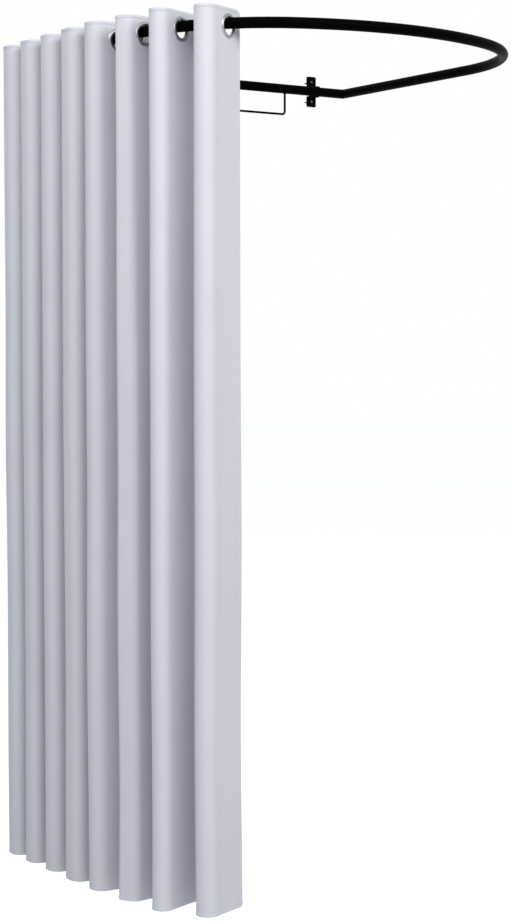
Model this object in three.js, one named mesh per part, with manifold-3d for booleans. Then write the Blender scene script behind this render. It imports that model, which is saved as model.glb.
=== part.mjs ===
// Wall-hung changing room: a D-shaped tube rail held by two saddles, a garment bail under its wall bar, and a
// curtain that hangs on the rail by eyelets and is gathered on the left arm and corner. Sizes are millimetres.
// Facing the wall, X runs to the right, +Y goes into the wall and +Z points up. The origin lies on the wall,
// midway along the wall bar and level with its centreline.
import * as THREE from "three";
import { mergeVertices } from "three/addons/utils/BufferGeometryUtils.js";
import Module from "manifold-3d";

const wasm = await Module();
wasm.setup();

// Rail tube and its plan, measured on the tube's centreline
const tubeDiameter = 25;
const tubeWall = 1.2;
const armLength = 531;
const cornerRadius = 380;
const frontRadius = 667;
const cornerCentreOffset = 115;
const tubeSides = 20;
const cornerSteps = 12;
const frontSteps = 6;

// Gap left where pieces are seated, sewn or tacked to each other, and what a cutting tool overruns
const seatGap = 0.3;
const overrun = 2;

// Joining pieces inside the tube, which let the closed rail open so that the eyelets can go on
const joinClearance = 0.5;
const sleeveLength = 120;
const sleeveWall = 1.6;
const elbowLeg = 60;
const screwInset = 34;
const setScrewDiameter = 5;
const setScrewLength = 6;
const setScrewClearance = 0.3;
const socketAcross = 2.5;
const socketDepth = 2.4;
const socketSides = 6;
const setScrewSides = 12;

// Saddles over the wall bar, with their wall screws
const saddleInset = 99;
const saddleWidth = 30;
const saddleHeight = 82;
const saddleThickness = 2.5;
const saddleBendRadius = 3;
const saddleCornerRadius = 4;
const saddleCornerSteps = 4;
const wallScrewSpacing = 52;
const wallScrewDiameter = 4;
const wallScrewHole = 5;
const wallScrewHead = 8.4;
const wallScrewHeadHeight = 2.8;
const wallScrewLength = 35;
const wallScrewPoint = 6;
// Domed head, as shares of its radius and of its height from the crown down
const domeShares = [[0, 0], [0.45, 0.08], [0.8, 0.34], [1, 0.75]];

// Garment bail, a bent wire under the wall bar
const bailWire = 6;
const bailInset = 92;
const bailDrop = 68;
const bailBendRadius = 9;
const bailSides = 8;

// Curtain cloth: each fold has a flat crest outside the rail and two flanks that the rail passes through
const clothThickness = 1.2;
const clothDrop = 1990;
const headMargin = 12;
const foldPitch = 100;
const crestDepth = 61;
const loopDepth = 50;
const freeEdgeReach = 44;
const flankReach = 32;
const crestBendRadius = 10;
const loopBendRadius = 18;
const flankSplay = THREE.MathUtils.degToRad(2);
const edgeSplay = THREE.MathUtils.degToRad(15);
const firstFoldInset = 58;
// How far apart the crests' middles are, from the wall end to the leading end, and how wide each crest is
const pitchShares = [0.94, 1.02, 1.07, 1.05, 1.18, 0.98, 0.99];
const crestShares = [0.63, 0.68, 0.63, 0.71, 0.56, 0.32, 0.44, 0.43];
const bendStep = THREE.MathUtils.degToRad(15);
// How much of the straight length beside it one end of a bend may take up
const bendRoomShare = 0.48;

// Eyelets, two snapped halves that read as one flanged ring
const eyeletBore = 38;
const eyeletOutside = 55;
const eyeletBarrelWall = 1.5;
const eyeletRise = 2.4;
const eyeletHoleClearance = 0.5;
const eyeletSides = 18;
// Flange from the bore to the rim, as shares of its width and of its rise off the cloth
const flangeShares = [[0, 0.55], [0.3, 1], [0.72, 0.82], [1, 0]];

// Worked out from the sizes above
const tubeRadius = tubeDiameter / 2;
const boreRadius = tubeRadius - tubeWall;
const barY = -tubeRadius;
const halfSpan = cornerCentreOffset + cornerRadius;
const frontHalfAngle = Math.asin(cornerCentreOffset / (frontRadius - cornerRadius));
const cornerSweep = Math.PI / 2 - frontHalfAngle;
const cornerLength = cornerRadius * cornerSweep;
const halfRail = armLength + cornerLength + frontRadius * frontHalfAngle;
const cornerCentreY = barY - armLength;
const frontCentreY = cornerCentreY + (frontRadius - cornerRadius) * Math.cos(frontHalfAngle);
const mitreBack = seatGap / Math.SQRT2;
const joinRadius = boreRadius - joinClearance;
const saddleX = halfSpan - saddleInset;
const bailX = saddleX - bailInset;
const eyeletRadius = eyeletOutside / 2;
const facetTurn = Math.PI / eyeletSides;
const hang = (eyeletBore / 2) * Math.cos(facetTurn) - tubeRadius - seatGap;
const clothTop = eyeletRadius + headMargin - hang;

const blackTube = new THREE.MeshStandardMaterial({ color: 0x141415, roughness: 0.42, metalness: 0.3 });
const plainSteel = new THREE.MeshStandardMaterial({ color: 0x8a8c8f, roughness: 0.4, metalness: 0.9 });
const darkSteel = new THREE.MeshStandardMaterial({ color: 0x2a2a2c, roughness: 0.45, metalness: 0.7 });
const brightSteel = new THREE.MeshStandardMaterial({ color: 0xc9ccd1, roughness: 0.22, metalness: 1 });
const paleCloth = new THREE.MeshStandardMaterial({ color: 0xd7dae8, roughness: 0.92, side: THREE.DoubleSide });

// Solids for joining and cutting
function solid(geometry) {
  const bare = geometry.index ? geometry.toNonIndexed() : geometry.clone();
  bare.deleteAttribute("normal");
  bare.deleteAttribute("uv");
  const merged = mergeVertices(bare, 1e-4);
  return new wasm.Manifold(new wasm.Mesh({
    numProp: 3,
    vertProperties: merged.attributes.position.array,
    triVerts: new Uint32Array(merged.index.array),
  }));
}

function surface(made) {
  const mesh = made.getMesh();
  const geometry = new THREE.BufferGeometry();
  geometry.setAttribute("position", new THREE.BufferAttribute(new Float32Array(mesh.vertProperties), 3));
  geometry.setIndex(new THREE.BufferAttribute(new Uint32Array(mesh.triVerts), 1));
  geometry.computeVertexNormals();
  return geometry;
}

function cut(geometry, tools) {
  return surface(tools.reduce((left, tool) => left.subtract(solid(tool)), solid(geometry)));
}

function named(name, geometry, material) {
  const mesh = new THREE.Mesh(geometry, material);
  mesh.name = name;
  return mesh;
}

// Plan of the rail, by distance from the left wall corner along the centreline
function onArc(centreX, centreY, radius, heading) {
  return { x: centreX + radius * Math.sin(heading), y: centreY - radius * Math.cos(heading), heading };
}

function railAt(station) {
  if (station > halfRail) {
    const twin = railAt(2 * halfRail - station);
    return { x: -twin.x, y: twin.y, heading: -twin.heading };
  }
  if (station < armLength) return { x: -halfSpan, y: barY - station, heading: -Math.PI / 2 };
  const turned = (station - armLength) / cornerRadius;
  if (turned < cornerSweep) {
    return onArc(-cornerCentreOffset, cornerCentreY, cornerRadius, turned - Math.PI / 2);
  }
  const turnedOnFront = (station - armLength - cornerLength) / frontRadius;
  return onArc(0, frontCentreY, frontRadius, turnedOnFront - frontHalfAngle);
}

// A point given beside a station of the rail, by how far it lies along the rail and inside it
function besideRail(station, along, inward) {
  const { x, y, heading } = railAt(station);
  return new THREE.Vector2(
    x + along * Math.cos(heading) - inward * Math.sin(heading),
    y + along * Math.sin(heading) + inward * Math.cos(heading),
  );
}

// How far inside a station's tangent the rail lies, a given distance further along
function railBend(station, along) {
  const here = railAt(station);
  const there = railAt(station + along);
  return (there.y - here.y) * Math.cos(here.heading) - (there.x - here.x) * Math.sin(here.heading);
}

// A sweep path through chosen knots, which keeps the direction given at each of them
class Route extends THREE.Curve {
  constructor(points, directions) {
    super();
    this.points = points;
    this.directions = directions;
  }
  getPoint(share) {
    const place = share * (this.points.length - 1);
    const knot = Math.min(Math.floor(place), this.points.length - 2);
    return this.points[knot].clone().lerp(this.points[knot + 1], place - knot);
  }
  getTangent(share) {
    return this.directions[Math.round(share * (this.points.length - 1))].clone();
  }
  getUtoTmapping(share) {
    return share;
  }
}

function ringSection(outerRadius, innerRadius) {
  const section = new THREE.Shape().absarc(0, 0, outerRadius, 0, 2 * Math.PI);
  if (innerRadius > 0) section.holes.push(new THREE.Path().absarc(0, 0, innerRadius, 0, 2 * Math.PI, true));
  return section;
}

// A full circle in a section is drawn with twice its curve segments
function swept(section, route, sides) {
  const steps = route.points.length - 1;
  return new THREE.ExtrudeGeometry(section, { extrudePath: route, steps, curveSegments: sides / 2 });
}

// A tube that follows the rail between two stations
function railPiece(stations, section) {
  const places = stations.map(railAt);
  const points = places.map(({ x, y }) => new THREE.Vector3(x, y, 0));
  const directions = places.map(({ heading }) => new THREE.Vector3(Math.cos(heading), Math.sin(heading), 0));
  return swept(section, new Route(points, directions), tubeSides);
}

function straightPiece(from, to, section) {
  const direction = to.clone().sub(from).normalize();
  return swept(section, new Route([from, to], [direction, direction]), tubeSides);
}

function evenly(from, to, steps) {
  return Array.from({ length: steps + 1 }, (_, i) => from + ((to - from) * i) / steps);
}

// Moves the points of an end that was cut square, so that it becomes a mitre
function mitred(geometry, moved) {
  const spots = geometry.getAttribute("position");
  for (let i = 0; i < spots.count; i++) {
    const { x, y } = moved(spots.getX(i), spots.getY(i));
    spots.setXY(i, x, y);
  }
  return geometry;
}

// Set screws stand under the joints: two in each elbow and two in the front sleeve
const leftFront = railAt(halfRail - screwInset);
const setScrewSpots = [
  { x: screwInset - halfSpan, y: barY },
  { x: -halfSpan, y: barY - screwInset },
  { x: leftFront.x, y: leftFront.y },
  { x: -leftFront.x, y: leftFront.y },
  { x: halfSpan, y: barY - screwInset },
  { x: halfSpan - screwInset, y: barY },
];

function setScrewHoles() {
  const radius = setScrewDiameter / 2 + setScrewClearance;
  const top = setScrewLength + seatGap - tubeRadius;
  const height = top + tubeRadius + overrun;
  return setScrewSpots.map(({ x, y }) =>
    new THREE.CylinderGeometry(radius, radius, height, setScrewSides)
      .rotateX(Math.PI / 2)
      .translate(x, y, top - height / 2));
}

function setScrew() {
  const radius = setScrewDiameter / 2;
  const socketRadius = socketAcross / 2 / Math.cos(Math.PI / socketSides);
  const body = new THREE.CylinderGeometry(radius, radius, setScrewLength, setScrewSides);
  const socket = new THREE.CylinderGeometry(socketRadius, socketRadius, socketDepth + overrun, socketSides)
    .translate(0, (socketDepth - overrun - setScrewLength) / 2, 0);
  return cut(body, [socket]).rotateX(Math.PI / 2);
}

function wallBar() {
  const section = ringSection(tubeRadius, boreRadius);
  const bar = straightPiece(
    new THREE.Vector3(-halfSpan, barY, 0), new THREE.Vector3(halfSpan, barY, 0), section);
  return mitred(bar, (x, y) => ({ x: Math.sign(x) * (halfSpan + y - barY - mitreBack), y }));
}

// One side of the rail: straight arm, corner bend and half of the front bend, out of one tube
function sideRail(side) {
  const bends = [
    0,
    ...evenly(armLength, armLength + cornerLength, cornerSteps),
    ...evenly(armLength + cornerLength, halfRail - seatGap / 2, frontSteps).slice(1),
  ];
  const stations = side < 0 ? bends : bends.map((station) => 2 * halfRail - station).reverse();
  const rail = railPiece(stations, ringSection(tubeRadius, boreRadius));
  const armEnd = barY - armLength / 2;
  return mitred(rail, (x, y) => ({ x, y: y > armEnd ? barY + Math.abs(x) - halfSpan - mitreBack : y }));
}

function frontSleeve() {
  const reach = sleeveLength / 2;
  const stations = evenly(halfRail - reach, halfRail + reach, frontSteps);
  return railPiece(stations, ringSection(joinRadius, joinRadius - sleeveWall));
}

// Solid corner plug with a leg in the wall bar and a leg in the arm; its mitre is the middle knot of one sweep
function cornerElbow(side) {
  const corner = new THREE.Vector3(side * halfSpan, barY, 0);
  const knots = [corner.clone().setX(side * (halfSpan - elbowLeg)), corner, corner.clone().setY(barY - elbowLeg)];
  const alongBar = new THREE.Vector3(side, 0, 0);
  const alongArm = new THREE.Vector3(0, -1, 0);
  const directions = [alongBar, alongBar.clone().add(alongArm).normalize(), alongArm];
  const plug = swept(ringSection(joinRadius, 0), new Route(knots, directions), tubeSides);
  return mitred(plug, (x, y) => {
    const outside = Math.abs(x) - halfSpan;
    const behind = y - barY;
    const atMitre = outside > -elbowLeg / 2 && behind > -elbowLeg / 2;
    const stretch = atMitre ? Math.SQRT2 : 1;
    return { x: side * (halfSpan + outside * stretch), y: barY + behind * stretch };
  });
}

// Turns the corners of a bent strip or wire into arcs, each limited by the straight lengths beside it
function bentLine(corners, radius) {
  const line = [corners[0]];
  for (let i = 1; i < corners.length - 1; i++) {
    const into = corners[i].clone().sub(corners[i - 1]);
    const out = corners[i + 1].clone().sub(corners[i]);
    const turn = Math.atan2(into.cross(out), into.dot(out));
    const room = Math.min(into.length(), out.length()) * bendRoomShare;
    const setback = Math.min(radius * Math.tan(Math.abs(turn) / 2), room);
    const start = corners[i].clone().addScaledVector(into.normalize(), -setback);
    const bend = setback / Math.tan(Math.abs(turn) / 2);
    const centre = start.clone().add(new THREE.Vector2(-into.y, into.x).multiplyScalar(Math.sign(turn) * bend));
    const steps = Math.max(2, Math.ceil(Math.abs(turn) / bendStep));
    line.push(...evenly(0, turn, steps).map((angle) => start.clone().rotateAround(centre, angle)));
  }
  line.push(corners[corners.length - 1]);
  return line;
}

// Unit directions into and out of each point of a line, and halfway between them
function headings(line) {
  return line.map((point, i) => {
    const into = point.clone().sub(line[Math.max(i - 1, 0)]).normalize();
    const out = line[Math.min(i + 1, line.length - 1)].clone().sub(point).normalize();
    const middle = into.clone().add(out).normalize();
    return { middle, slant: Math.max(middle.dot(into), middle.dot(out)) };
  });
}

// Outline of a strip of even thickness along a line
function strip(line, thickness) {
  const shifts = headings(line).map(({ middle, slant }) =>
    new THREE.Vector2(-middle.y, middle.x).multiplyScalar(thickness / 2 / slant));
  const left = line.map((point, i) => point.clone().add(shifts[i]));
  const right = line.map((point, i) => point.clone().sub(shifts[i]));
  return new THREE.Shape([...left, ...right.reverse()]);
}

// Saddle strap: drawn from the side, with its feet on the wall and its arch over the tube
function saddleStrap() {
  const middle = saddleThickness / 2;
  const arch = tubeRadius + seatGap + middle;
  const over = evenly(Math.PI / 2, (3 * Math.PI) / 2, cornerSteps).map((angle) =>
    new THREE.Vector2(barY + arch * Math.cos(angle), arch * Math.sin(angle)));
  const topFoot = bentLine(
    [new THREE.Vector2(-middle, saddleHeight / 2), new THREE.Vector2(-middle, arch), over[0]], saddleBendRadius);
  const lowFoot = topFoot.map((point) => new THREE.Vector2(point.x, -point.y)).reverse();
  const side = strip([...topFoot, ...over.slice(1, -1), ...lowFoot], saddleThickness);
  return new THREE.ExtrudeGeometry(side, { depth: saddleWidth, bevelEnabled: false })
    .translate(0, 0, -saddleWidth / 2)
    .rotateX(Math.PI / 2)
    .rotateZ(Math.PI / 2);
}

// The strap seen square on, as a block with rounded corners that trims its feet
function saddleBlank() {
  const across = saddleWidth / 2 - saddleCornerRadius;
  const up = saddleHeight / 2 - saddleCornerRadius;
  const plan = new THREE.Shape();
  plan.absarc(across, up, saddleCornerRadius, 0, Math.PI / 2);
  plan.absarc(-across, up, saddleCornerRadius, Math.PI / 2, Math.PI);
  plan.absarc(-across, -up, saddleCornerRadius, Math.PI, 1.5 * Math.PI);
  plan.absarc(across, -up, saddleCornerRadius, 1.5 * Math.PI, 2 * Math.PI);
  const depth = tubeDiameter + saddleThickness + 2 * overrun;
  return new THREE.ExtrudeGeometry(plan, { depth, bevelEnabled: false, curveSegments: saddleCornerSteps })
    .rotateX(Math.PI / 2)
    .translate(0, overrun, 0);
}

function saddle(x) {
  const holes = [1, -1].map((side) =>
    new THREE.CylinderGeometry(wallScrewHole / 2, wallScrewHole / 2, saddleThickness + 2 * overrun, tubeSides)
      .translate(0, -saddleThickness / 2, (side * wallScrewSpacing) / 2));
  const trimmed = solid(saddleStrap()).intersect(solid(saddleBlank()));
  return cut(surface(trimmed), holes).translate(x, 0, 0);
}

// Pan-head wall screw, turned about Y: the head lies on the saddle's foot and the point is in the wall
function wallScrew(x, z) {
  const headRadius = wallScrewHead / 2;
  const shankRadius = wallScrewDiameter / 2;
  const under = -saddleThickness - seatGap;
  const crown = domeShares.map(([out, down]) =>
    new THREE.Vector2(headRadius * out, under - wallScrewHeadHeight * (1 - down)));
  const shank = [
    new THREE.Vector2(headRadius, under),
    new THREE.Vector2(shankRadius, under),
    new THREE.Vector2(shankRadius, under + wallScrewLength - wallScrewPoint),
    new THREE.Vector2(0, under + wallScrewLength),
  ];
  return new THREE.LatheGeometry([...crown, ...shank], tubeSides).translate(x, 0, z);
}

function garmentBail() {
  const top = -tubeRadius - seatGap;
  const corners = [[-bailX, top], [-bailX, -bailDrop], [bailX, -bailDrop], [bailX, top]];
  const line = bentLine(corners.map(([x, z]) => new THREE.Vector2(x, z)), bailBendRadius);
  const upright = (point) => new THREE.Vector3(point.x, 0, point.y);
  const route = new Route(line.map(upright), headings(line).map(({ middle }) => upright(middle)));
  return swept(ringSection(bailWire / 2, 0), route, bailSides).translate(0, barY, 0);
}

// Where the crests' middles stand along the rail
const foldStations = pitchShares.reduce(
  (stations, share) => [...stations, stations[stations.length - 1] + share * foldPitch], [firstFoldInset]);
const folds = foldStations.map((station, i) => ({
  station,
  crest: crestShares[i] * foldPitch,
  isFirst: i === 0,
  isLast: i === pitchShares.length,
}));

// A point of a flank's middle line in its fold's own frame: x along the rail, y inwards, origin on the rail.
// side is -1 for the flank towards the wall and 1 for the flank towards the leading edge.
function onFlank(fold, side, inward) {
  const splay = splayOf(fold, side);
  return new THREE.Vector2(side * (fold.crest / 2 + Math.tan(splay) * (crestDepth + inward)), inward);
}

// The leading edge of the cloth stands open wider than the flanks inside the curtain
function splayOf(fold, side) {
  return fold.isLast && side > 0 ? edgeSplay : flankSplay;
}

// The end folds run on to the side edges of the cloth
function foldLine(fold) {
  return bentLine([
    onFlank(fold, -1, fold.isFirst ? freeEdgeReach : flankReach),
    onFlank(fold, -1, -crestDepth),
    onFlank(fold, 1, -crestDepth),
    onFlank(fold, 1, fold.isLast ? freeEdgeReach : flankReach),
  ], crestBendRadius);
}

function hungCloth(line) {
  return new THREE.ExtrudeGeometry(strip(line, clothThickness), { depth: clothDrop, bevelEnabled: false })
    .translate(0, 0, clothTop - clothDrop);
}

// The two places where the rail passes through a fold, and how the eyelets are turned there
function eyeletSpots(fold) {
  return [-1, 1].map((side) => {
    const crossing = onFlank(fold, side, 0);
    const { x, y } = onFlank(fold, side, railBend(fold.station, crossing.x));
    return { x, y, turn: -side * splayOf(fold, side) - Math.PI / 2 };
  });
}

function placedEyelet(geometry, { x, y, turn }) {
  return geometry.rotateZ(turn).translate(x, y, -hang);
}

function eyelet(spot) {
  const bore = eyeletBore / 2;
  const face = clothThickness / 2 + seatGap;
  const barrel = bore + eyeletBarrelWall;
  const flange = flangeShares.map(([out, up]) =>
    new THREE.Vector2(bore + (eyeletRadius - bore) * out, face + eyeletRise * up));
  const low = flange.map((point) => new THREE.Vector2(point.x, -point.y));
  const neck = [new THREE.Vector2(barrel, -face), new THREE.Vector2(barrel, face)];
  const outline = [...low, ...neck, ...flange.reverse(), low[0]];
  return placedEyelet(new THREE.LatheGeometry(outline, eyeletSides, facetTurn), spot);
}

function foldCloth(fold) {
  const radius = eyeletBore / 2 + eyeletBarrelWall + eyeletHoleClearance;
  const depth = clothThickness + 2 * overrun;
  const holes = eyeletSpots(fold).map((spot) =>
    placedEyelet(new THREE.CylinderGeometry(radius, radius, depth, eyeletSides, 1, false, facetTurn), spot));
  return cut(hungCloth(foldLine(fold)), holes);
}

// Loop of cloth inside the rail, between the lead flank of one fold and the trail flank of the next
function innerLoop(fold, next) {
  const beside = ({ station }, point) => besideRail(station, point.x, point.y);
  return hungCloth(bentLine([
    beside(fold, onFlank(fold, 1, flankReach + seatGap)),
    beside(fold, onFlank(fold, 1, loopDepth)),
    beside(next, onFlank(next, -1, loopDepth)),
    beside(next, onFlank(next, -1, flankReach + seatGap)),
  ], loopBendRadius));
}

function frame() {
  const group = new THREE.Group();
  group.add(named("wall_bar", cut(wallBar(), setScrewHoles()), blackTube));
  for (const [name, side] of [["left", -1], ["right", 1]]) {
    group.add(named(`${name}_rail`, cut(sideRail(side), setScrewHoles()), blackTube));
    group.add(named(`${name}_elbow`, cut(cornerElbow(side), setScrewHoles()), plainSteel));
    group.add(named(`${name}_saddle`, saddle(side * saddleX), blackTube));
  }
  group.add(named("front_sleeve", cut(frontSleeve(), setScrewHoles()), plainSteel));
  group.add(named("garment_bail", garmentBail(), blackTube));
  setScrewSpots.forEach(({ x, y }, i) => {
    const screw = named(`set_screw_${i + 1}`, setScrew(), darkSteel);
    screw.position.set(x, y, setScrewLength / 2 - tubeRadius);
    group.add(screw);
  });
  const rows = [-1, 1].flatMap((side) => [1, -1].map((row) => [side * saddleX, (row * wallScrewSpacing) / 2]));
  rows.forEach(([x, z], i) => group.add(named(`wall_screw_${i + 1}`, wallScrew(x, z), brightSteel)));
  return group;
}

// A fold hangs in a group of its own, which stands at its station and is turned along the rail
function hungFold(fold, i) {
  const { x, y, heading } = railAt(fold.station);
  const group = new THREE.Group();
  group.position.set(x, y, 0);
  group.rotation.z = heading;
  group.add(named(`curtain_fold_${i + 1}`, foldCloth(fold), paleCloth));
  eyeletSpots(fold).forEach((spot, j) =>
    group.add(named(`eyelet_${2 * i + j + 1}`, eyelet(spot), brightSteel)));
  return group;
}

function curtain() {
  const group = new THREE.Group();
  folds.forEach((fold, i) => group.add(hungFold(fold, i)));
  folds.slice(1).forEach((next, i) =>
    group.add(named(`curtain_loop_${i + 1}`, innerLoop(folds[i], next), paleCloth)));
  return group;
}

const changingRoom = new THREE.Group();
changingRoom.add(frame(), curtain());
export default changingRoom;
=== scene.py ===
# Looks of a wall-hung changing room: a bent tube rail on saddles, a garment bail and an eyelet curtain.
# Lengths are metres in the model's own frame: the wall is Y = 0, X runs to the right and Z points up.
import math

import bmesh
import bpy
import numpy as np
from mathutils import Matrix, Vector


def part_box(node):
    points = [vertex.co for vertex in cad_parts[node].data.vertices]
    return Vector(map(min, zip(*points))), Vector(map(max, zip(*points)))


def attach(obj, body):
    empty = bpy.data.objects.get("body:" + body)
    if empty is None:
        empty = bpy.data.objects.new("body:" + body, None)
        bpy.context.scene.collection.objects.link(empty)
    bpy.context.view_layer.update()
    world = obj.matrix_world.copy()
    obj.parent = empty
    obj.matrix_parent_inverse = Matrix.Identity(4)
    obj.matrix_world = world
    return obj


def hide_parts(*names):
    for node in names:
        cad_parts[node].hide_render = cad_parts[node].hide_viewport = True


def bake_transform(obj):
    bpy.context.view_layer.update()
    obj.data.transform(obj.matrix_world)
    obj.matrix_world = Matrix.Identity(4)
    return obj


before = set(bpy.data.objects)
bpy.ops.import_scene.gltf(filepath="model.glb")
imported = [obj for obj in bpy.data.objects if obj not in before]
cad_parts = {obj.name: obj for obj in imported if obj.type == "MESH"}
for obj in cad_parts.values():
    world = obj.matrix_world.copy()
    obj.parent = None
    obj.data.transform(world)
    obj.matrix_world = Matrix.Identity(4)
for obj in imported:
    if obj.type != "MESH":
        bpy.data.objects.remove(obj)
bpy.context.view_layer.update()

# Camera, worked out from the photograph's perspective
camera_place = Vector((-2.7533, -4.4685, -0.7363))
camera_yaw = math.radians(33.571)
camera_pitch = math.radians(2.843)
camera_roll = math.radians(-0.106)
camera_sensor = 36.0
camera_lens = 77.55
camera_near = 0.05
camera_far = 100

# Studio
floor_level = -2.06
floor_reach = 30.0
floor_colour = (0.66, 0.66, 0.66, 1)
floor_roughness = 0.9
floor_glow = 0.8
fill_level = 0.35
fill_colour = (0.77, 0.89, 1.0, 1)
lamp_colour = (1.0, 0.98, 0.957)

# Edges sharper than these angles stay sharp, and points nearer than this are joined
usual_sharpness = math.radians(40)
cloth_sharpness = math.radians(50)
screw_sharpness = math.radians(35)
strap_sharpness = math.radians(60)
merge_distance = 1e-7

# Rail tube and its plan, on the tube's centreline
tube_radius = 0.0125
tube_wall = 0.0012
tube_sides = 48
arm_length = 0.531
corner_radius = 0.38
front_radius = 0.667
corner_centre_offset = 0.115
bend_step = 0.008
rail_gap = 0.0003

# Saddles, with their columns in shares of half the width
saddle_x = 0.396
saddle_width = 0.03
saddle_height = 0.082
saddle_thickness = 0.0025
saddle_bend_radius = 0.003
saddle_corner_radius = 0.004
saddle_clearance = 0.0003
saddle_hole_radius = 0.0025
saddle_bevel = 0.00035
saddle_bevel_angle = math.radians(50)
saddle_bevel_steps = 2
saddle_corner_steps = 9
saddle_foot_steps = 10
saddle_bend_steps = 7
saddle_arch_steps = 18
saddle_columns = np.array([-1.0, -0.97, -0.9, -0.6, 0.0, 0.6, 0.9, 0.97, 1.0])

# Wall screws, with the head's outline in shares of its radius and height
screw_spacing = 0.052
screw_head_radius = 0.0042
screw_head_height = 0.0028
screw_head_shares = [
    (0.0, 1.0), (0.3, 0.985), (0.55, 0.93), (0.78, 0.8), (0.93, 0.58), (1.0, 0.3), (1.0, 0.08), (0.97, 0.0),
]
screw_length = 0.035
screw_point = 0.006
screw_shank_radius = 0.002
screw_sides = 32
screw_seat_gap = 0.00002
screw_turns = [12, 61, 33, -20]
thread_pitch = 0.0018
thread_depth = 0.00045
thread_ridge_share = 0.28
thread_steps = 12
thread_start_turns = 3
recess_arm = (0.0046, 0.0009, 0.0026)

# Set screws under the joints, and their hex sockets
set_screw_radius = 0.0025
set_screw_length = 0.006
set_screw_inset = 0.034
set_screw_edge = 0.0004
set_screw_clearance = 0.0003
set_screw_hole_length = 0.01
set_screw_hole_sides = 24
socket_radius = 0.00144
socket_depth = 0.0024
socket_sides = 6

# Garment bail and its weld beads
bail_radius = 0.003
bail_x = 0.301
bail_drop = 0.068
bail_bend_radius = 0.009
bail_overlap = 0.0002
bail_sides = 20
bail_bend_steps = 9
bead_overlap = 0.0006
bead_inner_share = 0.98
bead_width = 0.0018
bead_height = 0.0026
bead_dip = 0.0007
bead_swell = 0.06
bead_ripple = 0.04
bead_waves = (5, 9)
bead_rings = 7
bead_sides = 24

# Curtain and its plan. Depths and reaches are taken from the rail's centreline
cloth_thickness = 0.0012
cloth_drop = 1.99
head_margin = 0.012
fold_pitch = 0.1
pitch_shares = [0.94, 1.02, 1.07, 1.05, 1.18, 0.98, 0.99]
crest_shares = [0.63, 0.68, 0.63, 0.71, 0.56, 0.32, 0.44, 0.43]
still_fold = 4
first_fold_inset = 0.058
crest_depth = 0.061
neck_depth = 0.031
loop_depth = 0.05
seam_depth = 0.03215
free_edge_reach = 0.044
flank_splay = math.radians(2)
edge_splay = math.radians(15)
neck_bend_radius = 0.04
loop_bend_radius = 0.018
bend_room_share = 0.96
bend_steps = 24
plan_spacing = 0.0005

# Form of each crest, and how far it leans and its leading flank swells lower down
crest_bend_radii = [(0.026, 0.026)] * 5 + [(0.014, 0.06)] + [(0.026, 0.026)] * 2
crest_slants = [0, 0, 0, 0, 0, 0.02, 0, 0]
crest_fullness = [0.0055] * 5 + [0.0035] + [0.0055] * 2
crest_spreads = [
    (0.004, -0.002), (0.002, -0.002), (0.003, -0.002), (0.003, -0.001),
    (0.004, 0.001), (0.02, 0.0), (0.004, 0.002), (0.005, 0.002),
]
crest_leans = [0.0025, 0.0005, 0.0035, 0.0035, 0.005, 0.0032, 0.0013, 0.0036]
flank_swells = [-0.004, -0.006, -0.005, -0.006, 0, 0.006, 0, 0]

# How far the cloth's bends are eased at the head and below it, and its slow sway
head_softness = 0.003
low_softness = 0.0045
softening_start = 0.06
softening_span = 0.5
sway_seed = 11
sway_start = 0.1
sway_span = 0.9
sway_reach = 0.0011
sway_drift = 0.8
sway_lengths = (0.7, 1.6)

# Hems, and the rows and columns of the cloth, which lie close together at them
top_hem = 0.008
bottom_hem = 0.009
side_hem = 0.01
top_corner_radius = 0.014
bottom_corner_radius = 0.007
end_zone = 0.1
column_width = 0.004
least_column_gap = 0.001
rim_steps = [0.00008, 0.0003, 0.0006, 0.0012]
stitch_line_steps = [-0.0008, -0.0003, 0, 0.0003, 0.0008, 0.0025]
hem_middle_shift = 0.0005
rows_below_top_hem = [0.014, 0.02]
rows_above_bottom_hem = [0.015, 0.022]
upper_rows = 10
middle_rows = 110
rim_share = 0.9
hem_fullness = 0.85
hem_step = 0.0012
pinch_share = 0.6
pinch_width = 0.0006
least_thickness = 1e-6

# Stitches and weave
stitch_spacing = 0.0038
stitch_length = 0.0032
stitch_thickness = 0.00055
stitch_lift = 0.00005
weave_pitch = 0.0006
weave_depth = 0.00004

# Eyelets, with their outline in shares of the flange's width and rise
eyelet_bore_radius = 0.019
eyelet_rim_radius = 0.0275
eyelet_hole_radius = 0.0228
eyelet_rise = 0.0039
eyelet_back_rise = 0.0033
eyelet_back_inset = 0.0002
eyelet_neck_gap = 0.0005
eyelet_face_gap = 0.0001
eyelet_lip = 0.0006
eyelet_lip_shares = (0.6, 0.2)
eyelet_sides = 72
eyelet_hole_sides = 48
eyelet_shares = [
    (0.0, 0.0), (0.02, 0.35), (0.08, 0.72), (0.2, 0.96), (0.34, 1.0),
    (0.55, 0.94), (0.78, 0.72), (0.93, 0.46), (1.0, 0.24), (0.985, 0.1), (0.9, 0.02),
]

# Length of the tools that cut round holes through straps and cloth
cutter_length = 0.012

# Worked out from the sizes above
bar_y = -tube_radius
half_span = corner_centre_offset + corner_radius
mitre_gap = rail_gap / math.sqrt(2)
front_half_angle = math.asin(corner_centre_offset / (front_radius - corner_radius))
corner_length = corner_radius * (math.pi / 2 - front_half_angle)
half_rail = arm_length + corner_length + front_radius * front_half_angle
corner_centre_y = bar_y - arm_length
front_centre_y = corner_centre_y + (front_radius - corner_radius) * math.cos(front_half_angle)
hang = -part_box("eyelet_1")[0].z - eyelet_rim_radius
cloth_top = eyelet_rim_radius + head_margin - hang
fold_count = len(crest_shares)
fold_stations = first_fold_inset + fold_pitch * np.concatenate(([0.0], np.cumsum(pitch_shares)))


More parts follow.
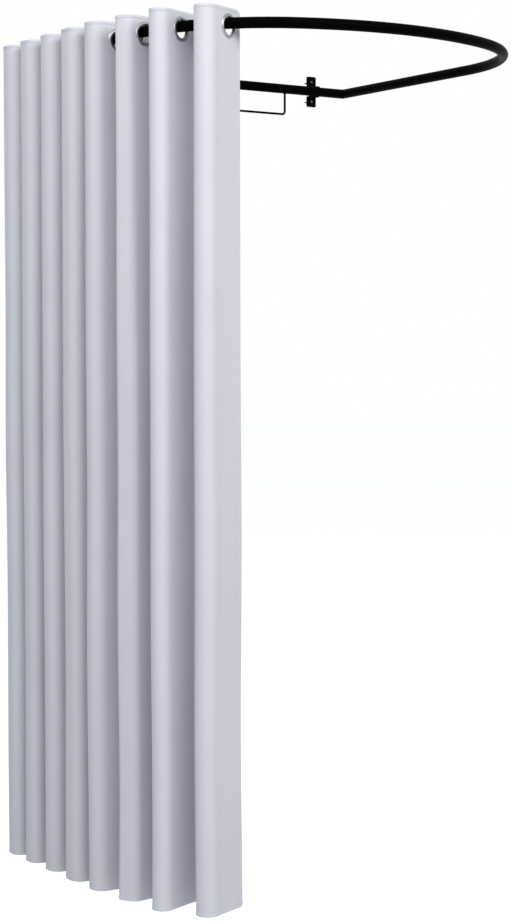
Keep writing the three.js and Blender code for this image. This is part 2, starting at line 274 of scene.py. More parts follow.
# Plan of the rail, by distance from the left wall corner along the centreline
def rail_at(station):
    """Place and heading of the rail."""
    if station > half_rail:
        twin = rail_at(2 * half_rail - station)
        return -twin[0], twin[1], -twin[2]
    if station < arm_length:
        return -half_span, bar_y - station, -math.pi / 2
    turned = (station - arm_length) / corner_radius
    if turned < math.pi / 2 - front_half_angle:
        heading = turned - math.pi / 2
        x = -corner_centre_offset + corner_radius * math.sin(heading)
        return x, corner_centre_y - corner_radius * math.cos(heading), heading
    heading = (station - arm_length - corner_length) / front_radius - front_half_angle
    return front_radius * math.sin(heading), front_centre_y - front_radius * math.cos(heading), heading


def beside_rail(station, along, inward):
    x, y, heading = rail_at(station)
    return np.array([
        x + along * math.cos(heading) - inward * math.sin(heading),
        y + along * math.sin(heading) + inward * math.cos(heading),
    ])


# Mesh making
def new_object(name, mesh):
    obj = bpy.data.objects.new(name, mesh)
    bpy.context.scene.collection.objects.link(obj)
    return obj


def mesh_from(name, vertices, faces, sharpness=usual_sharpness):
    mesh = bpy.data.meshes.new(name)
    mesh.from_pydata([tuple(v) for v in vertices], [], faces)
    tidy_mesh(mesh, sharpness)
    return mesh


def tidy_mesh(mesh, sharpness=usual_sharpness):
    """Joins doubled points, turns faces outwards and shades all but the sharp edges smoothly."""
    shape = bmesh.new()
    shape.from_mesh(mesh)
    bmesh.ops.remove_doubles(shape, verts=shape.verts, dist=merge_distance)
    bmesh.ops.recalc_face_normals(shape, faces=shape.faces)
    shape.to_mesh(mesh)
    shape.free()
    shade(mesh, sharpness)
    mesh.update()


def shade(mesh, sharpness=usual_sharpness):
    mesh.shade_smooth()
    mesh.set_sharp_from_angle(angle=sharpness)


def finished(obj):
    """Turns an object's modifiers into plain mesh."""
    depsgraph = bpy.context.evaluated_depsgraph_get()
    mesh = bpy.data.meshes.new_from_object(obj.evaluated_get(depsgraph))
    obj.modifiers.clear()
    obj.data = mesh
    return obj


def drilled(obj, cutters, sharpness=usual_sharpness):
    """Cuts other meshes out of an object."""
    for cutter in cutters:
        tool = new_object("cutter", cutter)
        cut = obj.modifiers.new("cut", "BOOLEAN")
        cut.object = tool
        cut.solver = "EXACT"
        finished(obj)
        bpy.data.objects.remove(tool)
    tidy_mesh(obj.data, sharpness)
    return obj


def drilled_mesh(mesh, cutters, sharpness=usual_sharpness):
    """Cuts other meshes out of a mesh."""
    body = drilled(new_object("blank", mesh), cutters, sharpness)
    cut_mesh = body.data
    bpy.data.objects.remove(body)
    return cut_mesh


def joined(name, meshes):
    """Puts several meshes in one object."""
    shape = bmesh.new()
    for mesh in meshes:
        shape.from_mesh(mesh)
    whole = bpy.data.meshes.new(name)
    shape.to_mesh(whole)
    shape.free()
    shade(whole)
    return new_object(name, whole)


def dressed(obj, material, body=None, stands_for=()):
    """Gives a piece its finish, its body and the nodes that it stands for."""
    obj.data.materials.clear()
    obj.data.materials.append(material)
    if body:
        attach(obj, body)
    if stands_for:
        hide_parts(*stands_for)
    return obj


def placed(mesh, *moves):
    for move in moves:
        mesh.transform(move)
    return mesh


def quarter_turn(axis):
    return Matrix.Rotation(math.radians(90), 4, axis)


def arc_points(centre, radius, start, end, steps):
    angles = np.linspace(start, end, steps)
    return [centre + radius * np.array([math.cos(a), math.sin(a)]) for a in angles]


def travelled_along(line):
    """Distance from a line's start to each of its points."""
    return np.concatenate(([0], np.cumsum(np.linalg.norm(np.diff(line, axis=0), axis=1))))


def ring_faces(rows, sides, closed_ends=True):
    faces = []
    for row in range(rows - 1):
        here, above = row * sides, (row + 1) * sides
        for side in range(sides):
            after = (side + 1) % sides
            faces.append((here + side, here + after, above + after, above + side))
    if closed_ends:
        faces.append(tuple(range(sides)))
        faces.append(tuple((rows - 1) * sides + side for side in range(sides)))
    return faces


def lathe_points(profile, sides):
    angles = np.linspace(0, 2 * math.pi, sides, endpoint=False)
    return [(r * math.cos(a), r * math.sin(a), h) for r, h in profile for a in angles]


def lathe(profile, sides):
    """Turns a profile of (radius, height) points about Z. Ends on the axis are joined to a point."""
    faces = ring_faces(len(profile), sides, closed_ends=False)
    return mesh_from("turned", lathe_points(profile, sides), faces)


def prism(radius, length, sides):
    profile = [(radius, -length / 2), (radius, length / 2)]
    return mesh_from("prism", lathe_points(profile, sides), ring_faces(2, sides))


def block(size):
    x, y, z = (v / 2 for v in size)
    corners = [(sx * x, sy * y, sz * z) for sz in (-1, 1) for sx, sy in ((-1, -1), (1, -1), (1, 1), (-1, 1))]
    return mesh_from("block", corners, ring_faces(2, 4))


def swept_rows(points, headings, radius, square=(0, 0, 1), sides=tube_sides):
    """Rings of a round bar along points in a plane, with a heading at each. Square is the plane's normal."""
    angles = np.linspace(0, 2 * math.pi, sides, endpoint=False)
    rows = []
    for point, heading in zip(points, headings):
        along = Vector(heading).normalized()
        side = along.cross(Vector(square))
        other = side.cross(along)
        rows.append([Vector(point) + radius * (math.cos(a) * side + math.sin(a) * other) for a in angles])
    return rows


def sheet_solid(front, back):
    """A closed shell between two grids of points, given as rows of columns."""
    rows, columns = front.shape[:2]
    vertices = np.concatenate([front.reshape(-1, 3), back.reshape(-1, 3)])
    offset = rows * columns
    grid = np.arange(offset).reshape(rows, columns)
    a, b, c, d = grid[:-1, :-1], grid[:-1, 1:], grid[1:, 1:], grid[1:, :-1]
    faces = [*np.stack([a, b, c, d], -1).reshape(-1, 4)]
    faces += [*(np.stack([d, c, b, a], -1).reshape(-1, 4) + offset)]
    rim = [*grid[0, :], *grid[1:, -1], *grid[-1, -2::-1], *grid[-2:0:-1, 0]]
    for here, there in zip(rim, [*rim[1:], rim[0]]):
        faces.append((there, here, here + offset, there + offset))
    return vertices, [tuple(int(i) for i in face) for face in faces]


# Node trees
class Tree:
    """A node tree with short ways to add and join nodes."""

    def __init__(self, tree):
        self.tree = tree

    def join(self, source, target):
        self.tree.links.new(source, target)

    def feed(self, node, inputs):
        """Gives inputs, by label or number, their values or another node's output."""
        for label, value in inputs.items():
            if isinstance(value, bpy.types.NodeSocket):
                self.join(value, node.inputs[label])
            elif value is not None:
                node.inputs[label].default_value = value

    def add(self, kind, inputs=None, **settings):
        node = self.tree.nodes.new(kind)
        for name, value in settings.items():
            setattr(node, name, value)
        self.feed(node, inputs or {})
        return node

    def calc(self, operation, first, second, clamp=False):
        inputs = {0: first, 1: second}
        return self.add("ShaderNodeMath", inputs, operation=operation, use_clamp=clamp).outputs[0]

    def times(self, first, second, clamp=False):
        return self.calc("MULTIPLY", first, second, clamp)

    def blend(self, share, first, second):
        """Mixes two colours."""
        inputs = {0: share, 6: (*first, 1), 7: (*second, 1)}
        return self.add("ShaderNodeMix", inputs, data_type="RGBA").outputs[2]

    def spread(self, value, low, high, new_low, new_high):
        """Moves a value from one range to another."""
        inputs = dict(enumerate((value, low, high, new_low, new_high)))
        return self.add("ShaderNodeMapRange", inputs).outputs[0]

    def noise(self, vector, scale, detail, roughness=0.5):
        inputs = {"Vector": vector, "Scale": scale, "Detail": detail, "Roughness": roughness}
        return self.add("ShaderNodeTexNoise", inputs).outputs["Fac"]

    def stretched(self, vector, scale):
        return self.add("ShaderNodeMapping", {"Vector": vector, "Scale": scale}).outputs["Vector"]

    def bump(self, height, depth):
        inputs = {"Strength": 1.0, "Distance": depth, "Height": height}
        return self.add("ShaderNodeBump", inputs).outputs["Normal"]

    def seen_by(self, *kinds):
        """1 for rays of the given kinds and 0 for others."""
        path = self.add("ShaderNodeLightPath")
        seen, *others = [path.outputs[f"Is {kind} Ray"] for kind in kinds]
        for other in others:
            seen = self.calc("MAXIMUM", seen, other)
        return seen

    def passed(self, kind, geometry, **inputs):
        """A mesh as it comes out of a Geometry Nodes node."""
        return self.add(kind, {"Geometry": geometry, **inputs}).outputs["Geometry"]


def node_group(name, kind, inputs, outputs):
    """A group with inputs and outputs of the given kinds: its tree, what it is given and its result node."""
    group = bpy.data.node_groups.new(name, kind)
    for in_out, sockets in (("INPUT", inputs), ("OUTPUT", outputs)):
        for label, socket_kind in sockets.items():
            group.interface.new_socket(label, in_out=in_out, socket_type=f"NodeSocket{socket_kind}")
    tree = Tree(group)
    return tree, tree.add("NodeGroupInput").outputs, tree.add("NodeGroupOutput")


# Fine grain for bumps and slow patches for tone, which every finish uses
def make_grain_group():
    tree, given, result = node_group(
        "grain_and_patches", "ShaderNodeTree",
        {"Vector": "Vector", "Grain": "Float", "Patch": "Float"},
        {"Grain": "Float", "Patches": "Float"},
    )
    slow = tree.noise(given["Vector"], given["Patch"], detail=4.0, roughness=0.6)
    tree.feed(result, {
        "Grain": tree.noise(given["Vector"], given["Grain"], detail=3.0),
        "Patches": tree.spread(slow, 0.3, 0.7, 0.0, 1.0),
    })
    return tree.tree


# Thin scratches in one direction, broken up so that few of them show
def make_scratch_group():
    tree, given, result = node_group(
        "fine_scratches", "ShaderNodeTree", {"Vector": "Vector", "Scale": "Float"}, {"Scratches": "Float"},
    )
    lines = tree.noise(tree.stretched(given["Vector"], (1.0, 1.0, 22.0)), given["Scale"], detail=5.0)
    breaks = tree.noise(given["Vector"], given["Scale"], detail=1.0)
    thin = tree.spread(lines, 0.62, 0.7, 0.0, 1.0)
    tree.feed(result, {"Scratches": tree.times(thin, tree.spread(breaks, 0.45, 0.6, 0.0, 1.0))})
    return tree.tree


grain_group = make_grain_group()
scratch_group = make_scratch_group()


def new_finish(name):
    """A material with its tree, its shader and Object coordinates."""
    material = bpy.data.materials.new(name)
    material.use_nodes = True
    tree = Tree(material.node_tree)
    shader = material.node_tree.nodes["Principled BSDF"]
    return material, tree, shader, tree.add("ShaderNodeTexCoord").outputs["Object"]


def grained(tree, vector, grain, patch):
    inputs = {"Vector": vector, "Grain": grain, "Patch": patch}
    node = tree.add("ShaderNodeGroup", inputs, node_tree=grain_group)
    return node.outputs["Grain"], node.outputs["Patches"]


def scratched(tree, vector, scale):
    return tree.add("ShaderNodeGroup", {"Vector": vector, "Scale": scale}, node_tree=scratch_group).outputs[0]


# Satin black powder coat, rubbed a little along the top of the tube where the eyelets run
def black_powder_coat():
    material, tree, shader, place = new_finish("black_powder_coat")
    grain, patches = grained(tree, place, grain=1400.0, patch=22.0)
    height = tree.add("ShaderNodeSeparateXYZ", {0: place}).outputs["Z"]
    crown = tree.spread(height, 0.8 * tube_radius, tube_radius, 0.0, 1.0)
    rubbed = tree.times(tree.times(crown, patches), tree.noise(place, 160.0, detail=5.0), clamp=True)
    rough = tree.spread(patches, 0.0, 1.0, 0.36, 0.44)
    tree.feed(shader, {
        "Base Color": tree.blend(rubbed, (0.001, 0.001, 0.0011), (0.005, 0.005, 0.0054)),
        "Roughness": tree.calc("SUBTRACT", rough, tree.times(rubbed, 0.14)),
        "Normal": tree.bump(grain, depth=0.00006),
        "IOR": 1.15,
        "Specular IOR Level": 0.07,
    })
    return material


# Plated or blackened metal, with patches of two tones, a fine grain and scratches if it is handled
def metal_finish(name, grain, patch, dull, bright, roughness, depth=0.00002, metallic=1.0, scratches=None):
    material, tree, shader, place = new_finish(name)
    fine, patches = grained(tree, place, grain, patch)
    rough = tree.spread(patches, 0.0, 1.0, *roughness)
    if scratches:
        rough = tree.calc("ADD", rough, tree.times(scratched(tree, place, scratches), 0.2))
    tree.feed(shader, {
        "Base Color": tree.blend(patches, dull, bright),
        "Roughness": rough,
        "Normal": tree.bump(fine, depth),
        "Metallic": metallic,
    })
    return material


# Close plain weave: threads run along both directions of the cloth's own map, which is in metres
def woven_height(tree, cloth_map):
    phase_per_scale = 20
    scale = 2 * math.pi / phase_per_scale / weave_pitch
    inputs = {"Vector": cloth_map, "Scale": scale, "Distortion": 0.6, "Detail": 1.0}
    waves = [tree.add("ShaderNodeTexWave", inputs, bands_direction=way).outputs["Fac"] for way in ("X", "Y")]
    return tree.calc("MAXIMUM", *waves)


def woven_cloth():
    material, tree, shader, _ = new_finish("curtain_cloth")
    cloth_map = tree.add("ShaderNodeUVMap", uv_map="cloth").outputs["UV"]
    grain, patches = grained(tree, cloth_map, grain=700.0, patch=5.0)
    slubs = tree.noise(tree.stretched(cloth_map, (90.0, 900.0, 1.0)), 1.0, detail=3.0)
    tone = tree.calc("ADD", tree.times(patches, 0.55), tree.times(slubs, 0.45), clamp=True)
    height = tree.calc("ADD", woven_height(tree, cloth_map), tree.times(grain, 0.8))
    tree.feed(shader, {
        "Base Color": tree.blend(tone, (0.665, 0.675, 0.73), (0.71, 0.72, 0.775)),
        "Roughness": tree.spread(slubs, 0.2, 0.8, 0.8, 0.92),
        "Normal": tree.bump(height, weave_depth),
        "Sheen Weight": 0.12,
        "Sheen Roughness": 0.5,
        "Specular IOR Level": 0.3,
    })
    return material


# Sewing thread, a little greyer than the cloth
def sewing_thread():
    material, tree, shader, place = new_finish("sewing_thread")
    grain, patches = grained(tree, place, grain=1600.0, patch=120.0)
    tree.feed(shader, {
        "Base Color": tree.blend(patches, (0.44, 0.455, 0.52), (0.54, 0.555, 0.62)),
        "Roughness": tree.spread(grain, 0.0, 1.0, 0.55, 0.8),
        "Normal": tree.bump(grain, depth=0.00005),
    })
    return material


coat = black_powder_coat()
plate = metal_finish(
    "eyelet_plate", grain=2600.0, patch=90.0, dull=(0.27, 0.28, 0.295), bright=(0.36, 0.37, 0.385),
    roughness=(0.28, 0.38), depth=0.00001, scratches=240.0,
)
bright_zinc = metal_finish(
    "bright_zinc_plate", grain=1800.0, patch=260.0, dull=(0.36, 0.37, 0.39), bright=(0.58, 0.59, 0.61),
    roughness=(0.24, 0.4),
)
dark_zinc = metal_finish(
    "dark_zinc_plate", grain=1800.0, patch=260.0, dull=(0.045, 0.046, 0.05), bright=(0.12, 0.122, 0.13),
    roughness=(0.3, 0.46),
)
oxide = metal_finish(
    "black_oxide", grain=2400.0, patch=300.0, dull=(0.012, 0.012, 0.013), bright=(0.05, 0.05, 0.052),
    roughness=(0.3, 0.5), metallic=0.9,
)
curtain_cloth = woven_cloth()
thread = sewing_thread()


# Rail
def tube_mesh(rows):
    """An open tube with its wall, closed round both rims."""
    sides = len(rows[0])
    centres = [sum(row, Vector()) / sides for row in rows]
    inner = [[c + (v - c) * (1 - tube_wall / tube_radius) for v in row] for row, c in zip(rows, centres)]
    loop = [*rows, *reversed(inner), rows[0]]
    vertices = [v for row in loop for v in row]
    return mesh_from("tube", vertices, ring_faces(len(loop), sides, closed_ends=False))


def wall_bar():
    xs = (-half_span, 0, half_span)
    rows = swept_rows([(x, bar_y, 0) for x in xs], [(1, 0, 0)] * len(xs), tube_radius)
    for end, side in ((0, -1), (-1, 1)):
        rows[end] = [Vector((side * (half_span + v.y - bar_y - mitre_gap), v.y, v.z)) for v in rows[end]]
    return new_object("tube_wall_bar", tube_mesh(rows))


def side_rail(side):
    bend = np.arange(arm_length, half_rail - rail_gap, bend_step)
    stations = [0.0, *bend, half_rail - rail_gap / 2]
    points, headings = [], []
    for station in stations:
        x, y, heading = rail_at(station)
        points.append((x, y, 0))
        headings.append((math.cos(heading), math.sin(heading), 0))
    rows = swept_rows(points, headings, tube_radius)
    rows[0] = [Vector((v.x, bar_y + abs(v.x) - half_span - mitre_gap, v.z)) for v in rows[0]]
    mesh = tube_mesh(rows)
    if side > 0:
        mesh.transform(Matrix.Scale(-1, 4, (1, 0, 0)))
        tidy_mesh(mesh)
    return new_object("tube_left_arm" if side < 0 else "tube_right_arm", mesh)


def set_screw_spots():
    front_x, front_y, _ = rail_at(half_rail - set_screw_inset)
    return [
        (set_screw_inset - half_span, bar_y), (-half_span, bar_y - set_screw_inset), (front_x, front_y),
        (-front_x, front_y), (half_span, bar_y - set_screw_inset), (half_span - set_screw_inset, bar_y),
    ]


def set_screw_hole(x, y):
    hole = prism(set_screw_radius + set_screw_clearance, set_screw_hole_length, set_screw_hole_sides)
    return placed(hole, Matrix.Translation((x, y, -tube_radius)))


spots = set_screw_spots()
for piece, node, near in (
    (wall_bar(), "wall_bar", (0, 5)),
    (side_rail(-1), "left_rail", (1, 2)),
    (side_rail(1), "right_rail", (3, 4)),
):
    drilled(piece, [set_screw_hole(*spots[i]) for i in near])
    dressed(piece, coat, "frame", [node])


# Repeated fixings and eyelets are set on points, each turned by its own angles
def make_placing_tree():
    tree, given, result = node_group(
        "pieces_on_points", "GeometryNodeTree",
        {"Geometry": "Geometry", "Piece": "Object", "Finish": "Material"}, {"Geometry": "Geometry"},
    )
    piece = tree.add("GeometryNodeObjectInfo", {"Object": given["Piece"]})
    turn = tree.add("GeometryNodeInputNamedAttribute", {"Name": "turn"}, data_type="FLOAT_VECTOR")
    copies = tree.add("GeometryNodeInstanceOnPoints", {
        "Points": given["Geometry"],
        "Instance": piece.outputs["Geometry"],
        "Rotation": turn.outputs["Attribute"],
    })
    whole = tree.passed("GeometryNodeRealizeInstances", copies.outputs["Instances"])
    tree.feed(result, {"Geometry": tree.passed("GeometryNodeSetMaterial", whole, Material=given["Finish"])})
    return tree.tree


# Stitches follow a line: one short thread for each step along it
def make_stitch_tree():
    sizes = dict.fromkeys(("Step", "Length", "Thickness"), "Float")
    tree, given, result = node_group(
        "row_of_stitches", "GeometryNodeTree",
        {"Geometry": "Geometry", "Finish": "Material", **sizes}, {"Geometry": "Geometry"},
    )
    line = tree.add("GeometryNodeMeshToCurve", {"Mesh": given["Geometry"]})
    inputs = {"Curve": line.outputs["Curve"], "Length": given["Step"]}
    even = tree.add("GeometryNodeResampleCurve", inputs, mode="LENGTH")
    tangent = tree.add("GeometryNodeInputTangent").outputs["Tangent"]
    aim = tree.add("FunctionNodeAlignRotationToVector", {"Vector": tangent}, axis="Z")
    stitch = tree.add("GeometryNodeMeshUVSphere", {"Segments": 6, "Rings": 4, "Radius": 0.5})
    thickness = given["Thickness"]
    size = tree.add("ShaderNodeCombineXYZ", {"X": thickness, "Y": thickness, "Z": given["Length"]})
    copies = tree.add("GeometryNodeInstanceOnPoints", {
        "Points": even.outputs["Curve"],
        "Instance": stitch.outputs["Mesh"],
        "Rotation": aim.outputs["Rotation"],
        "Scale": size.outputs["Vector"],
    })
    whole = tree.passed("GeometryNodeRealizeInstances", copies.outputs["Instances"])
    smooth = tree.passed("GeometryNodeSetShadeSmooth", whole)
    tree.feed(result, {"Geometry": tree.passed("GeometryNodeSetMaterial", smooth, Material=given["Finish"])})
    return tree.tree


placing_tree = make_placing_tree()
stitch_tree = make_stitch_tree()


def with_nodes(obj, tree, **values):
    """Runs a Geometry Nodes tree on an object, with inputs by their labels."""
    modifier = obj.modifiers.new("nodes", "NODES")
    modifier.node_group = tree
    for item in tree.interface.items_tree:
        if item.in_out == "INPUT" and item.name in values:
            modifier[item.identifier] = values[item.name]
    return finished(obj)


def on_points(name, sample_mesh, places, turns, material):
    """One mesh with a copy of the sample at each place."""
    mesh = bpy.data.meshes.new(name)
    mesh.from_pydata([tuple(p) for p in places], [], [])
    angles = mesh.attributes.new("turn", "FLOAT_VECTOR", "POINT")
    for i, turn in enumerate(turns):
        angles.data[i].vector = turn
    sample = new_object("sample", sample_mesh)
    obj = with_nodes(new_object(name, mesh), placing_tree, Piece=sample, Finish=material)
    bpy.data.objects.remove(sample)
    return obj


# Set screws, seen end on under the tube as hex sockets
def set_screw_mesh():
    r, h, edge = set_screw_radius, set_screw_length, set_screw_edge
    profile = [(0, 0), (r - edge, 0), (r, edge), (r, h - edge), (r - edge, h), (0, h)]
    return drilled_mesh(lathe(profile, screw_sides), [prism(socket_radius, 2 * socket_depth, socket_sides)])


def dress_set_screws():
    places = [(x, y, -tube_radius) for x, y in spots]
    screws = on_points("socket_set_screws", set_screw_mesh(), places, [(0, 0, 0)] * len(places), oxide)
    dressed(screws, oxide, "frame", [f"set_screw_{i + 1}" for i in range(len(places))])


dress_set_screws()


# Wall screws: pan head with a cross recess and a threaded shank, drawn head up along Z
def wall_screw_mesh():
    profile = [(screw_head_radius * r, screw_head_height * h) for r, h in screw_head_shares]
    depths = np.linspace(0, screw_length, int(screw_length / thread_pitch * thread_steps))
    angles = np.linspace(0, 2 * math.pi, screw_sides, endpoint=False)
    core = screw_shank_radius - thread_depth
    shank = []
    for depth in depths:
        taper = min(1.0, (screw_length - depth) / screw_point)
        start = min(1.0, depth / (thread_start_turns * thread_pitch))
        for angle in angles:
            phase = (depth / thread_pitch + angle / (2 * math.pi)) % 1.0
            ridge = max(0.0, 1 - abs(phase - 0.5) / thread_ridge_share)
            radius = (core + thread_depth * ridge * start + thread_depth * (1 - start)) * max(taper, 0.0)
            shank.append((radius * math.cos(angle), radius * math.sin(angle), -depth))
    faces = ring_faces(len(profile) + len(depths), screw_sides, closed_ends=False)
    vertices = [*lathe_points(profile, screw_sides), *shank]
    mesh = mesh_from("wall_screw", vertices, faces, screw_sharpness)
    top = Matrix.Translation((0, 0, screw_head_height))
    cuts = [placed(block(recess_arm), turn, top) for turn in (Matrix.Identity(4), quarter_turn("Z"))]
    return placed(drilled_mesh(mesh, cuts, screw_sharpness), quarter_turn("X"))


def dress_wall_screws():
    under = -saddle_thickness - screw_seat_gap
    places = [(side * saddle_x, under, row * screw_spacing / 2) for side in (-1, 1) for row in (1, -1)]
    turns = [(0, math.radians(angle), 0) for angle in screw_turns]
    screws = on_points("pan_head_wall_screws", wall_screw_mesh(), places, turns, dark_zinc)
    dressed(screws, dark_zinc, "frame", [f"wall_screw_{i + 1}" for i in range(len(places))])


dress_wall_screws()


# Saddles: one strap with its feet on the wall and its arch over the tube
def saddle_line():
    """Middle line of the strap from the top foot to the bottom one, as (y, z)."""
    middle = saddle_thickness / 2
    arch = tube_radius + saddle_clearance + middle
    bend = saddle_bend_radius
    half = saddle_height / 2
    corner_turns = np.linspace(0, math.pi / 2, saddle_corner_steps)
    corner_heights = half - saddle_corner_radius * (1 - np.cos(corner_turns))
    straight_heights = np.linspace(half - saddle_corner_radius, arch + bend, saddle_foot_steps)[1:]
    foot = [np.array([-middle, z]) for z in [*corner_heights, *straight_heights]]
    corner_centre = np.array([-middle - bend, arch + bend])
    corner = arc_points(corner_centre, bend, 0, -math.pi / 2, saddle_bend_steps)[1:]
    over = arc_points(np.array([bar_y, 0.0]), arch, math.pi / 2, math.pi, saddle_arch_steps)[1:]
    upper = [*foot, *corner, np.array([bar_y, arch]), *over]
    lower = [np.array([y, -z]) for y, z in reversed(upper[:-1])]
    return np.array([*upper, *lower])


def corner_setback(to_end, radius):
    """How far a rounded corner draws an edge back, by the distance to the piece's end."""
    inset = np.clip(radius - to_end, 0, radius)
    return radius - np.sqrt(radius**2 - inset**2)


def saddle(name, x):
    line = saddle_line()
    along = np.gradient(line, axis=0)
    along /= np.linalg.norm(along, axis=1)[:, None]
    normal = np.stack([along[:, 1], -along[:, 0]], 1)
    travelled = travelled_along(line)
    to_end = np.minimum(travelled, travelled[-1] - travelled)
    half = saddle_width / 2 - corner_setback(to_end, saddle_corner_radius)
    layers = []
    for side in (1, -1):
        lift = line + side * normal * saddle_thickness / 2
        layer = np.zeros((len(line), len(saddle_columns), 3))
        layer[:, :, 0] = x + half[:, None] * saddle_columns[None, :]
        layer[:, :, 1] = lift[:, 0, None]
        layer[:, :, 2] = lift[:, 1, None]
        layers.append(layer)
    piece = new_object(name, mesh_from(name, *sheet_solid(*layers)))
    holes = [
        placed(prism(saddle_hole_radius, cutter_length, screw_sides), quarter_turn("X"),
               Matrix.Translation((x, 0, row * screw_spacing / 2)))
        for row in (1, -1)
    ]
    drilled(piece, holes)
    softened = piece.modifiers.new("edges", "BEVEL")
    softened.width = saddle_bevel
    softened.segments = saddle_bevel_steps
    softened.limit_method = "ANGLE"
    softened.angle_limit = saddle_bevel_angle
    finished(piece)
    tidy_mesh(piece.data, strap_sharpness)
    return piece


for label, x in (("left", -saddle_x), ("right", saddle_x)):
    dressed(saddle(f"{label}_wall_strap", x), coat, "frame", [f"{label}_saddle"])


# Garment bail: one bent wire, welded to the bar at both ends
def bail_line():
    top = -tube_radius + bail_overlap
    r = bail_bend_radius
    right = [np.array([bail_x, z]) for z in np.linspace(top, -bail_drop + r, 3)]
    bend = arc_points(np.array([bail_x - r, -bail_drop + r]), r, 0, -math.pi / 2, bail_bend_steps)[1:]
    half = [*right, *bend]
    other = [np.array([-x, z]) for x, z in reversed(half)]
    return np.array([*half, *other])


def weld_bead(x):
    """A small fillet round the wire's end, uneven as a weld is."""
    swells, ripples = bead_waves
    vertices = []
    for share in np.arange(bead_rings) / (bead_rings - 1):
        for angle in 2 * math.pi * np.arange(bead_sides) / bead_sides:
            uneven = 1 + bead_swell * math.sin(swells * angle + x) + bead_ripple * math.sin(ripples * angle)
            radius = bail_radius * bead_inner_share + bead_width * (1 - share) ** 2 * uneven
            drop = bead_height * share - bead_dip * (1 - share) * math.cos(angle) ** 2
            height = -tube_radius + bead_overlap - drop
            vertices.append((x + radius * math.cos(angle), bar_y + radius * math.sin(angle), height))
    return mesh_from("bead", vertices, ring_faces(bead_rings, bead_sides))


def garment_bail():
    line = bail_line()
    points = [(x, bar_y, z) for x, z in line]
    headings = [(x, 0, z) for x, z in np.gradient(line, axis=0)]
    rows = swept_rows(points, headings, bail_radius, square=(0, 1, 0), sides=bail_sides)
    wire = mesh_from("wire", [v for row in rows for v in row], ring_faces(len(rows), bail_sides))
    return joined("bent_wire_bail", [wire, weld_bead(-bail_x), weld_bead(bail_x)])


dressed(garment_bail(), coat, "frame", ["garment_bail"])

# Joining pieces inside the tube, in their own plain form
for node in ("left_elbow", "right_elbow", "front_sleeve"):
    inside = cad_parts[node]
    inside.data.materials.clear()
    inside.data.materials.append(bright_zinc)


# Curtain: plan of the whole cloth from the wall end to the leading edge
def splay_of(fold, side):
    return edge_splay if fold == fold_count - 1 and side > 0 else flank_splay


def on_flank(fold, side, inward):
    crest = crest_shares[fold] * fold_pitch
    along = side * (crest / 2 + math.tan(splay_of(fold, side)) * (crest_depth + inward))
    return beside_rail(fold_stations[fold], along, inward)


def on_crest(fold, side):
    """Corner of a crest, which spreads past its flank's line, stands full and may slant at its front."""
    spread = crest_spreads[fold][0 if side < 0 else 1]
    slant = crest_slants[fold] if side > 0 else 0
    along = side * (crest_shares[fold] * fold_pitch / 2 + spread)
    return beside_rail(fold_stations[fold], along, slant - crest_depth - crest_fullness[fold])


def cloth_corners():
    corners = [on_flank(0, -1, free_edge_reach)]
    radii = []
    for fold in range(fold_count):
        corners += [on_flank(fold, -1, -neck_depth), on_crest(fold, -1)]
        corners += [on_crest(fold, 1), on_flank(fold, 1, -neck_depth)]
        radii += [neck_bend_radius, *crest_bend_radii[fold], neck_bend_radius]
        if fold < fold_count - 1:
            corners += [on_flank(fold, 1, loop_depth), on_flank(fold + 1, -1, loop_depth)]
            radii += [loop_bend_radius] * 2
    corners.append(on_flank(fold_count - 1, 1, free_edge_reach))
    return corners, radii


def rounded(corners, radii):
    """Turns a line's corners into arcs, smaller ones where two would meet, and spaces its points evenly."""
    steps = np.diff(corners, axis=0)
    lengths = np.linalg.norm(steps, axis=1)
    ways = steps / lengths[:, None]
    turns = np.array([math.atan2(a[0] * b[1] - a[1] * b[0], a @ b) for a, b in zip(ways, ways[1:])])
    halves = np.tan(np.abs(turns) / 2)
    backs = np.array(radii) * halves
    taken = np.array([backs[0], *(backs[:-1] + backs[1:]), backs[-1]])
    crowding = taken / (bend_room_share * lengths)
    backs /= np.maximum(1, np.maximum(crowding[:-1], crowding[1:]))
    line = [corners[0]]
    for corner, way, turn, back, half in zip(corners[1:], ways, turns, backs, halves):
        start = corner - way * back
        centre = start + back / half * math.copysign(1, turn) * np.array([-way[1], way[0]])
        arm = start - centre
        for angle in np.linspace(0, turn, bend_steps):
            c, s = math.cos(angle), math.sin(angle)
            line.append(centre + np.array([c * arm[0] - s * arm[1], s * arm[0] + c * arm[1]]))
    line = np.array([*line, corners[-1]])
    travelled = travelled_along(line)
    even = np.arange(0, travelled[-1], plan_spacing)
    return np.stack([np.interp(even, travelled, line[:, i]) for i in (0, 1)], 1)


plan = rounded(*cloth_corners())
cloth_width = plan_spacing * (len(plan) - 1)


def softened_plan(reach):
    """The plan with its bends eased over a given reach, as cloth takes them."""
    steps = int(4 * reach / plan_spacing)
    weights = np.exp(-0.5 * (np.arange(-steps, steps + 1) * plan_spacing / reach) ** 2)
    weights /= weights.sum()
    sides = []
    for values in plan.T:
        before = 2 * values[0] - values[steps:0:-1]
        after = 2 * values[-1] - values[-2:-steps - 2:-1]
        sides.append(np.convolve(np.concatenate([before, values, after]), weights, mode="valid"))
    return np.stack(sides, 1)


head_plan = softened_plan(head_softness)
low_plan = softened_plan(low_softness)


def nearest_place(point):
    """How far along the cloth a point of the plan lies."""
    return plan_spacing * int(np.argmin(np.linalg.norm(plan - point, axis=1)))


def crest_middle(fold):
    return (on_flank(fold, -1, -crest_depth) + on_flank(fold, 1, -crest_depth)) / 2


crest_places = [nearest_place(crest_middle(fold)) for fold in range(fold_count)]
seam_places = [
    (nearest_place(on_flank(fold, 1, seam_depth)), nearest_place(on_flank(fold + 1, -1, seam_depth)))
    for fold in range(fold_count - 1)
]
loop_places = [sum(pair) / 2 for pair in seam_places]

